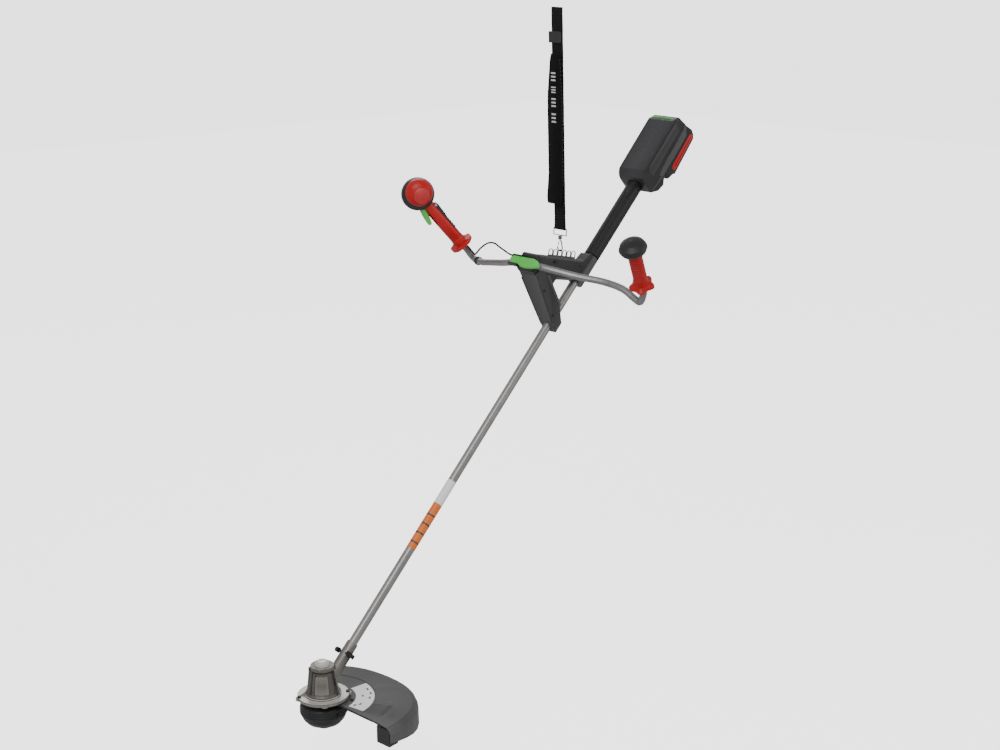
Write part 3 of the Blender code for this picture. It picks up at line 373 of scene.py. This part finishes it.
def strap():
    """One band of webbing from the top, round the ring and back, and its padded sleeve."""
    bottom = RING_Z + 0.009
    path = [(lean(z) + BAND_GAP, z) for z in [0.0, *[-0.02 * i for i in range(1, 29)]]]
    path += [(HOOK.x + BAND_BEND_R * cos(a), bottom + BAND_BEND_R * sin(a))
             for a in [radians(40 - 26 * i) for i in range(11)]]
    path += [(lean(z) - BAND_GAP, z) for z in [-0.56 + 0.02 * i for i in range(29)]]
    bm = bmesh.new()
    columns = 9
    grid = []
    for x, z in path:
        narrow = 1.0 if z > bottom + 0.03 else 1.0 - 0.02 * (bottom + 0.03 - z) / 0.03
        grid.append([bm.verts.new((x + 0.0003 * sin(z * 90 + k),
                                   (-1 + 2 * k / (columns - 1)) * BAND_HALF * narrow, z))
                     for k in range(columns)])
    for a, b in zip(grid, grid[1:]):
        for j in range(columns - 1):
            bm.faces.new((a[j], a[j + 1], b[j + 1], b[j]))
    band = put("webbing_band", bm, CLOTH, "strap", sharp=60)
    thick = band.modifiers.new("thickness", "SOLIDIFY")
    thick.thickness = BAND_THICK
    thick.offset = 0
    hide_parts("strap_webbing")

    rings = []
    stations = 60
    for i in range(stations + 1):
        share = i / stations
        z = PAD_TOP + (PAD_LOW - PAD_TOP) * share
        swell = min(1.0, 4.5 * sqrt(max(0.0, share * (1 - share))))
        half_w = (0.0165 + 0.0065 * min(1.0, share * 3.2)) * (0.86 + 0.14 * swell)
        crown = (0.0052 + 0.0028 * min(1.0, share * 2.5)) * (0.5 + 0.5 * swell)
        crease = 1 - 0.10 * max(0.0, cos(share * 2 * pi * 9)) ** 8
        ring = []
        for k in range(32):
            a = 2 * pi * k / 32
            c, s = cos(a), sin(a)
            y = half_w * (abs(c) ** 0.55) * (1 if c > 0 else -1)
            x = crown * (abs(s) ** 0.7) * (1 if s > 0 else -1)
            channel = 0.82 if abs(abs(y) - half_w * 0.62) < 0.0018 else 1.0
            flare = 0.0035 * min(1.0, share * 4) + 0.0060 * max(0.0, share - 0.80) / 0.20
            spread = flare if y > 0 else 0.4 * flare
            ring.append((lean(z) - PAD_OUT - 0.5 * flare + x * channel * crease, y + spread, z))
        rings.append(ring)
    pad = put("pad_sleeve", lofted(rings), PAD, "strap", sharp=60)
    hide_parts("shoulder_pad")
    for i, (start, end) in enumerate(((-0.168, -0.196), (-0.206, -0.226), (-0.236, -0.264),
                                      (-0.276, -0.306))):
        face = [(lean(z) - 0.0196, y, z) for y, z in ((-0.0085, start), (0.0065, start), (0.0065, end),
                                                      (-0.0085, end))]
        bars = []
        for part in range(3):
            share = part / 3
            bars.append([Vector(face[0]).lerp(face[3], share + 0.02),
                         Vector(face[1]).lerp(face[2], share + 0.02),
                         Vector(face[1]).lerp(face[2], share + 0.17),
                         Vector(face[0]).lerp(face[3], share + 0.17)])
        bm = bmesh.new()
        for quad in bars:
            front = [bm.verts.new(p) for p in quad]
            back = [bm.verts.new(p + Vector((0.0016, 0, 0))) for p in quad]
            bm.faces.new(front)
            bm.faces.new(list(reversed(back)))
            for k in range(4):
                bm.faces.new((front[k], back[k], back[(k + 1) % 4], front[(k + 1) % 4]))
        put(f"pad_mark_{i + 1}", bm, THREAD_PALE, "strap")
    for name, side in (("pad_binding_left", -1), ("pad_binding_right", 1)):
        edge = [(lean(z) - PAD_OUT, side * (0.0165 + 0.0065 * min(1.0, (PAD_TOP - z) / 0.115)), z)
                for z in [PAD_TOP - 0.010 - 0.01 * i for i in range(35)]]
        bm = bmesh.new()
        for a, b in zip(edge, edge[1:]):
            seg = swept([Vector(a) * 0.75 + Vector(b) * 0.25, Vector(a) * 0.25 + Vector(b) * 0.75],
                        0.0008, 6)
            temp = bpy.data.meshes.new("stitch")
            seg.to_mesh(temp)
            seg.free()
            bm.from_mesh(temp)
            bpy.data.meshes.remove(temp)
        put(name, bm, THREAD, "strap")


# ---------------------------------------------------------------- shaft labels
def band(name, start, end, mat):
    """A printed band round the shaft between two places along it."""
    profile = [(TUBE_R + 0.0004, end), (TUBE_R + 0.0004, start), (TUBE_R + 0.0001, start),
               (TUBE_R + 0.0001, end)]
    put(name, turned(profile, 40), mat, "tool", TOOL @ X_TURN)


def shaft_labels():
    """The pale and orange bands, and four plain marks."""
    band("shaft_band_pale", -0.728, -0.655, WHITE)
    band("shaft_band_orange", -0.866, -0.7285, ORANGE)
    for i in range(4):
        start = -0.850 + 0.028 * i
        profile = [(TUBE_R + 0.0006, start + 0.0045), (TUBE_R + 0.0006, start), (TUBE_R + 0.0003, start),
                   (TUBE_R + 0.0003, start + 0.0045)]
        put(f"band_mark_{i + 1}", turned(profile, 40), INK, "tool", TOOL @ X_TURN)


# ---------------------------------------------------------------- guard and motor details
def sector(name, r0, r1, a0, a1, z, thick, mat, body="tool", steps=24):
    angles = [radians(a0 + (a1 - a0) * i / steps) for i in range(steps + 1)]
    outline = [(r0 * cos(a), r0 * sin(a)) for a in angles] + [(r1 * cos(a),
                                                               r1 * sin(a)) for a in reversed(angles)]
    rings = [[(x, y, z) for x, y in outline], [(x, y, z + thick) for x, y in outline]]
    put(name, lofted(rings), mat, body, HEAD)


def bell_radius(z):
    """The bell's outer radius at a height."""
    if z < 0.014:
        return 0.045
    if z < 0.018:
        return 0.045 - (z - 0.014) * 1.25
    if z < 0.070:
        return 0.040 - (z - 0.018) * 0.008 / 0.052
    return 0.032 - max(0.0, z - 0.079) * 0.125


def bell_strip(name, azimuth, half, low, high, proud, mat):
    """A patch that stands a little off the bell, round an azimuth in degrees."""
    steps = max(4, int(half / 2))
    full = half >= 179
    rings = []
    for i in range(steps if full else steps + 1):
        a = radians(azimuth - half + 2 * half * i / steps)
        rings.append([((bell_radius(z) + off) * cos(a), (bell_radius(z) + off) * sin(a), z) for z, off in
                      ((low, -0.0008), (low + 0.0006, proud), ((low + high) / 2, proud),
                       (high - 0.0006, proud),
                       (high, -0.0008))])
    put(name, lofted(rings, closed_loop=full), mat, "tool", HEAD)


def guard_relief():
    """The raised pad near the line cutter, the ribs at the hub and the black block at the near end."""
    rings = []
    low_r, high_r, first, last = 0.132, 0.186, -80, -58
    for r, a0, a1, z in ((0.0, 0, 0, -0.0062), (0.0035, 1.5, 1.5, -0.0030), (0.0100, 4.0, 4.0, -0.0018)):
        outline = []
        for r_at, sweep in ((low_r + r, 1), (high_r - r, -1)):
            steps = [first + a0 + (last - a1 - first - a0) * i / 10 for i in range(11)]
            outline += [(r_at * cos(radians(a)), r_at * sin(radians(a)), z) for a in steps[::sweep]]
        rings.append(outline)
    put("guard_pad", lofted(rings), GUARD, "tool", HEAD)
    sector("guard_hub_ring", 0.0665, 0.0705, -84, 58, -0.0056, 0.0022, GUARD, steps=30)
    sector("guard_hub_step", 0.1335, 0.1350, -84, 58, -0.0056, 0.0010, GUARD, steps=30)
    block = []
    for z, grow in ((-0.0150, 0.0), (-0.0300, 0.0010), (-0.0600, 0.0010)):
        block.append([(r * cos(radians(a)), r * sin(radians(a)), z) for r, a in
                      ((0.196, -87.6), (0.240 + grow, -87.6), (0.240 + grow, -80.0), (0.196, -81.0))])
    put("cutter_block", lofted(block), BLACK, "tool", HEAD)
    edge = [(r * cos(radians(-88.2)), r * sin(radians(-88.2)), -0.0072 if r < 0.2 else -0.0100)
            for r in [0.054 + 0.018 * i for i in range(10)]]
    put("guard_lip", swept(edge, 0.0024, 8), BLACK, "tool", HEAD)


def head_details():
    """The guard's label and marks, the bell's panels and ribs, a dark strip of painted shade down the bell's right
    side, and the line head's rings.
    """
    sector("guard_label", 0.083, 0.130, -80, -7, -0.0053, 0.0005, WHITE)
    for i, (r, a) in enumerate(((0.118, -22), (0.121, -34), (0.118, -46), (0.100, -40), (0.104, -66),
                                (0.094, -72))):
        sector(f"guard_mark_{i + 1}", r - 0.0025, r + 0.0025, a - 2.6, a + 2.6, -0.0047, 0.0003, INK,
               steps=3)
    sector("flange_face", 0.0475, 0.0655, 0, 359.9, 0.0072, 0.0005, CAST_LIGHT,
           steps=72)
    bell_strip("bell_panel", -134, 26, 0.020, 0.068, 0.0012, CAST)
    bell_strip("bell_slot", -184, 5, 0.016, 0.078, 0.0010, INK)
    bell_strip("bell_rib", -64, 3, 0.010, 0.078, 0.0034, CAST)
    bell_strip("bell_line_left", -161, 1.0, 0.018, 0.072, 0.0014, DARK_STEEL)
    # A dark strip down the bell's right side: painted shade where the side turns away, along the bell's edge.
    bell_strip("bell_shade_line_right", -76, 1.6, 0.012, 0.078, 0.0018, INK)
    bell_strip("bell_ring", 0, 180, 0.0745, 0.0775, 0.0010, DARK_STEEL)
    bell_strip("bell_step", 0, 180, 0.0085, 0.0110, 0.0016, CAST_LIGHT)
    fin_at = radians(-212)
    fin = [(0.034, 0.080), (0.041, 0.020), (0.058, 0.0080), (0.0575, 0.0065), (0.038, 0.0065)]
    rings = [[(r * cos(fin_at) - side * sin(fin_at), r * sin(fin_at) + side * cos(fin_at), z) for r,
              z in fin]
             for side in (-0.0022, 0.0022)]
    put("bell_fin", lofted(rings), CAST, "tool", HEAD)
    slit = [(-1.176, -0.0152, -0.002), (-1.210, -0.0152, -0.002)]
    tool_bar("neck_slit_1", slit, 0.0014, INK, "tool")
    for i in range(3):
        z = -0.026 - 0.007 * i
        ring = [(0.0606, z + 0.0008), (0.0612, z), (0.0606, z - 0.0008), (0.0596, z - 0.0008),
                (0.0596, z + 0.0008)]
        put(f"line_head_rib_{i + 1}", turned(ring, 64), BLACK, "rotor_body", HEAD)
    guard_relief()
    for i, (r, a, turn) in enumerate(((0.152, -19, 10), (0.171, -53, 40))):
        spot = HEAD @ Matrix.Translation((r * cos(radians(a)), r * sin(radians(a)), -0.0062))
        ring = [(0.0, 0.0004), (0.0075, 0.0008), (0.0088, 0.0000), (0.0075, -0.0008), (0.0, -0.0008)]
        bm = lofted([[(max(x, 0.00001) * cos(2 * pi * k / 24),
                       0.45 * max(x, 0.00001) * sin(2 * pi * k / 24), z)
                      for k in range(24)] for x, z in ring[1:4]])
        put(f"guard_dent_{i + 1}", bm, INK, "tool",
            spot @ Matrix.Rotation(radians(turn), 4, "Z"))


# ---------------------------------------------------------------- grips
def lobes(angle, r, z):
    """The flange's edge is waved; the barrel stays round."""
    if r < 0.030:
        return r
    return r * (0.90 + 0.12 * cos(5 * angle + 0.6))


def ribbed(profile_low, profile_high, r, pitch, depth):
    """Shallow rings along a barrel."""
    out = []
    z = profile_high
    while z > profile_low:
        out += [(r, z), (r, z - pitch * 0.55), (r - depth, z - pitch * 0.65), (r - depth, z - pitch * 0.9)]
        z -= pitch
    return out


def left_grip():
    """The ribbed barrel and waved flange of the left grip."""
    bore = BAR_R + 0.0003
    body = [(bore, 0.125), (0.0172, 0.125), (0.0185, 0.1235)]
    body += ribbed(0.026, 0.121, 0.0184, 0.0082, 0.0010)
    body += [(0.0180, 0.020), (0.0205, 0.010), (0.0330, 0.0052), (0.0340, 0.0040), (0.0340, -0.0020),
             (0.0325, -0.0032), (0.0200, -0.006), (bore, -0.006)]
    obj = put("left_grip_skin", turned(body, 60, lobes), RED, "bar", LEFT)
    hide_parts("left_grip")


RIGHT_VIEW = Vector((cos(VIEW_TURN), -sin(VIEW_TURN), 0))
UP_VIEW = Vector((sin(VIEW_TURN) * sin(VIEW_DOWN), cos(VIEW_TURN) * sin(VIEW_DOWN), cos(VIEW_DOWN)))
HEAD_OUT = Vector((-0.46, -0.86, 0.18)).normalized()


def throttle_skin():
    """The red dome over the round head, its paler disc, the flange's lobes and the black insert."""
    out = (RIGHT.to_3x3() @ HEAD_OUT).normalized()
    turn = out.to_track_quat("Z", "Y").to_matrix().to_4x4()
    centre = RIGHT @ Vector((0, 0, 0.198)) + UP_VIEW * 0.0062 + RIGHT_VIEW * 0.0024
    dome = [(0.0001, 0.0455), (0.0120, 0.0450), (0.0240, 0.0420), (0.0330, 0.0365), (0.0375, 0.0290),
            (0.0395, 0.0200),
            (0.0398, 0.0120), (0.0370, 0.0120), (0.0360, 0.0250), (0.0300, 0.0335), (0.0200, 0.0385),
            (0.0001, 0.0410)]
    cap = put("throttle_dome", turned(dome, 56), RED, "bar",
              Matrix.Translation(centre) @ turn)
    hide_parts("throttle_cap")
    at = centre + RIGHT_VIEW * 0.0062 - UP_VIEW * 0.0052
    disc = [(0.0001, 0.0472), (0.0170, 0.0462), (0.0215, 0.0440), (0.0225, 0.0418), (0.0200, 0.0400),
            (0.0001, 0.0400)]
    put("throttle_disc", turned(disc, 48), RED_PALE, "bar", Matrix.Translation(at) @ turn)
    body = [(0.0182, 0.024), (0.0208, 0.0105), (0.0335, 0.0062), (0.0352, 0.0046), (0.0352, -0.0028),
            (0.0335, -0.0040),
            (0.0185, -0.0052), (0.0185, -0.0010), (0.0176, 0.024)]
    put("throttle_flange", turned(body, 60, lobes), RED, "bar", RIGHT)
    for i in range(9):
        z = 0.056 + 0.0088 * i
        angles = [radians(-58 + 10 * k) for k in range(12)]
        wrap = [Vector((0.0186 * cos(a), 0.0186 * sin(a), z)) for a in angles]
        bm = swept(wrap, 0.0022, 8)
        put(f"grip_notch_{i + 1}", bm, BLACK, "bar", RIGHT)
    rings = []
    for k in range(13):
        a = radians(-62 + 10 * k)
        rings.append([(r * cos(a), r * sin(a), z) for r, z in
                      ((0.0170, 0.050), (0.0188, 0.053), (0.0190, 0.100), (0.0188, 0.146),
                       (0.0170, 0.150))])
    bm = lofted(rings)
    put("grip_insert", bm, BLACK, "bar", RIGHT)


# ---------------------------------------------------------------- housing trim
def tool_bar(name, points, radius, mat, body, flat=1.0, sides=10):
    """A bar along a path in the tool frame."""
    put(name, swept(points, radius, sides, flat), mat, body, TOOL)


def side_slab(name, outline, side, low, thick, mat, body):
    """A thin panel of (s, h) points on one side of the tool, standing off at |y| = low."""
    rings = [[(x, side * low, z) for x, z in outline], [(x, side * (low + thick * 0.6), z) for x,
                                                        z in outline]]
    mid = sum((Vector(p) for p in outline), Vector((0, 0))) / len(outline)
    rings.append([(x + (mid.x - x) * 0.02, side * (low + thick), z + (mid.y - z) * 0.05) for x,
                  z in outline])
    put(name, lofted(rings), mat, body, TOOL)


def housing_trim():
    """The green trim, the side bands and panels, and the vents of the battery end."""
    back = [(0.5555, -0.0385, 0.0435), (0.5555, -0.0200, 0.0448), (0.5555, 0.0, 0.0450),
            (0.5555, 0.0200, 0.0448),
            (0.5555, 0.0385, 0.0435)]
    tool_bar("trim_green_top", [(s, y, h - 0.0012) for s, y, h in smooth_path(back, 5)], 0.0022, GREEN,
             "tool")
    for side in (-1, 1):
        label = "left" if side < 0 else "right"
        y = side * 0.0415
        rim = smooth_path([(0.5500, y, 0.0425), (0.560, y, 0.0365), (0.5715, y, 0.0285),
                           (0.5765, y, -0.004)], 5)
        tool_bar(f"trim_green_{label}", rim, 0.0013, GREEN, "tool")
        side_slab(f"side_band_{label}", [(0.412, -0.031), (0.556, -0.0295), (0.569, -0.012), (0.572, 0.004),
                                         (0.560, -0.006), (0.432, -0.014), (0.404, -0.022)],
                  side, 0.0455, 0.0012, GREY, "tool")
        side_slab(f"side_panel_{label}", [(0.388, 0.000), (0.545, 0.006), (0.550, 0.030), (0.536, 0.034),
                                          (0.400, 0.031), (0.386, 0.024)],
                  side, 0.0455, 0.0010, SHELL, "tool")
        side_slab(f"pack_band_{label}", [(0.4640, -0.0700), (0.5740, -0.0625), (0.5800, -0.0560),
                                         (0.5780, -0.0480),
                                         (0.5700, -0.0455), (0.4660, -0.0510), (0.4580, -0.0560),
                                         (0.4590, -0.0650)],
                  side, 0.0388, 0.0014, RED, "battery")
        side_slab(f"pack_rib_{label}", [(0.470, -0.0615), (0.570, -0.0545), (0.571, -0.0530),
                                        (0.470, -0.0598)],
                  side, 0.0401, 0.0010, DEEP_RED, "battery")
    for i in range(5):
        s = 0.420 + 0.022 * i
        tool_bar(f"vent_slot_{i + 1}", [(s, -0.016, 0.0448 + 0.02 * (s - 0.42)),
                                        (s, 0.016, 0.0448 + 0.02 * (s - 0.42))],
                 0.0012, DARK_STEEL, "tool", sides=8)


# ---------------------------------------------------------------- bracket
def bracket_details():
    """Raised rims on the arms' sides, the light top edge and the dark clip."""
    for side in (-1, 1):
        label = "left" if side < 0 else "right"
        inner = smooth_path([(-0.0870, side * 0.0246, 0.024), (-0.0740, side * 0.0282, 0.075),
                             (-0.0590, side * 0.0306, 0.130)], 8)
        tool_bar(f"lower_rim_{label}", inner, 0.0040, RIM, "tool", flat=0.35)
        outer = smooth_path([(-0.1420, side * 0.0240, 0.004), (-0.1180, side * 0.0280, 0.076),
                             (-0.0930, side * 0.0315, 0.150)], 8)
        tool_bar(f"lower_edge_{label}", outer, 0.0024, ARM, "tool", flat=0.5)
        top = smooth_path([(-0.0240, side * 0.0176, 0.1600), (0.0180, side * 0.0176, 0.0940),
                           (0.0580, side * 0.0176, 0.0310)], 8)
        tool_bar(f"upper_rim_{label}", top, 0.0034, RIM, "tool", flat=0.35)
        low = smooth_path([(-0.0400, side * 0.0176, 0.0860), (-0.0080, side * 0.0176, 0.0360),
                           (0.0100, side * 0.0176, 0.0230)], 8)
        tool_bar(f"upper_edge_{label}", low, 0.0030, RIM, "tool", flat=0.35)
    hump = smooth_path([(0.296, -0.0100, 0.0110), (0.312, -0.0125, 0.0150), (0.342, -0.0130, 0.0155)], 6)
    tool_bar("rear_cable_cover", hump, 0.0062, SLEEVE, "tool")
    clip = [(-0.0120, 0.1270), (-0.0040, 0.1150), (-0.0080, 0.1120), (-0.0165, 0.1240)]
    side_slab("bracket_clip", clip, -1, 0.0178, 0.0035, DARK_STEEL, "tool")
    for i, (s, h) in enumerate(((-0.125, 0.030), (-0.098, 0.110), (0.040, 0.033))):
        half = 0.0262 if i == 0 else 0.0300 if i == 1 else 0.0181
        spot = TOOL @ Matrix.Translation((s, -half + 0.0006, h)) @ Matrix.Rotation(pi / 2, 4, "X")
        profile = [(0.0016, 0.0016), (0.0036, 0.0014), (0.0042, 0.0), (0.0016, 0.0)]
        put(f"bracket_screw_{i + 1}", turned(profile, 24), DARK_STEEL, "tool", spot)


# ---------------------------------------------------------------- stage, lights and camera
BACKDROP = 2.2                      # how bright the floor and wall look to the camera


def studio():
    """A pale floor and wall, a soft world light and three area lights."""
    bm = bmesh.new()
    bmesh.ops.create_grid(bm, x_segments=2, y_segments=2, size=12)
    mesh = bpy.data.meshes.new("floor")
    bm.to_mesh(mesh)
    bm.free()
    floor = bpy.data.objects.new("floor", mesh)
    floor.location = (0, 0, -1.95)
    bpy.context.scene.collection.objects.link(floor)
    paint = material("studio_floor", (0.92, 0.92, 0.92), (0.94, 0.94, 0.94), (0.8, 0.9), scale=1,
                     grain=20, bump=0.0)
    glow = paint.node_tree.nodes["Principled BSDF"]
    glow.inputs["Emission Color"].default_value = (1, 1, 1, 1)
    glow.inputs["Emission Strength"].default_value = BACKDROP
    mesh.materials.append(paint)
    floor.visible_diffuse = False
    floor.visible_glossy = False
    world = bpy.data.worlds.new("studio")
    bpy.context.scene.world = world
    world.use_nodes = True
    tree = world.node_tree
    soft = tree.nodes["Background"]
    soft.inputs["Color"].default_value = (1.0, 1.0, 1.0, 1)
    soft.inputs["Strength"].default_value = 0.55
    wall = tree.nodes.new("ShaderNodeBackground")
    wall.inputs["Color"].default_value = (1.0, 1.0, 1.0, 1)
    wall.inputs["Strength"].default_value = BACKDROP + 0.4
    path = tree.nodes.new("ShaderNodeLightPath")
    mix = tree.nodes.new("ShaderNodeMixShader")
    tree.links.new(path.outputs["Is Camera Ray"], mix.inputs[0])
    tree.links.new(soft.outputs[0], mix.inputs[1])
    tree.links.new(wall.outputs[0], mix.inputs[2])
    tree.links.new(mix.outputs[0], tree.nodes["World Output"].inputs[0])
    for name, place, size, power in (("key", (-2.6, -1.2, 1.6), 2.2, 60),
                                     ("fill", (1.6, -3.0, 0.6), 2.4, 25),
                                     ("back", (1.5, 2.6, 1.4), 2.0, 25)):
        light = bpy.data.lights.new(name, "AREA")
        light.size = size
        light.energy = power
        lamp = bpy.data.objects.new(name, light)
        lamp.location = place
        lamp.rotation_mode = "QUATERNION"
        lamp.rotation_quaternion = (Vector(place) - Vector((-0.1, 0, -0.9))).to_track_quat("Z", "Y")
        bpy.context.scene.collection.objects.link(lamp)


def camera():
    """The photograph's viewing angle."""
    turn, down = VIEW_TURN, VIEW_DOWN
    forward = Vector((sin(turn) * cos(down), cos(turn) * cos(down), -sin(down)))
    right = Vector((cos(turn), -sin(turn), 0))
    up = right.cross(forward)
    data = bpy.data.cameras.new("camera")
    data.lens = 63
    data.sensor_width = 36
    eye = bpy.data.objects.new("camera", data)
    eye.location = (-3.35457, -3.25928, 0.22855)
    eye.rotation_mode = "QUATERNION"
    eye.rotation_quaternion = Matrix((right, up, -forward)).transposed().to_quaternion()
    bpy.context.scene.collection.objects.link(eye)
    bpy.context.scene.camera = eye


throttle_cable()
strap()
shaft_labels()
head_details()
left_grip()
throttle_skin()
housing_trim()
bracket_details()
studio()
camera()
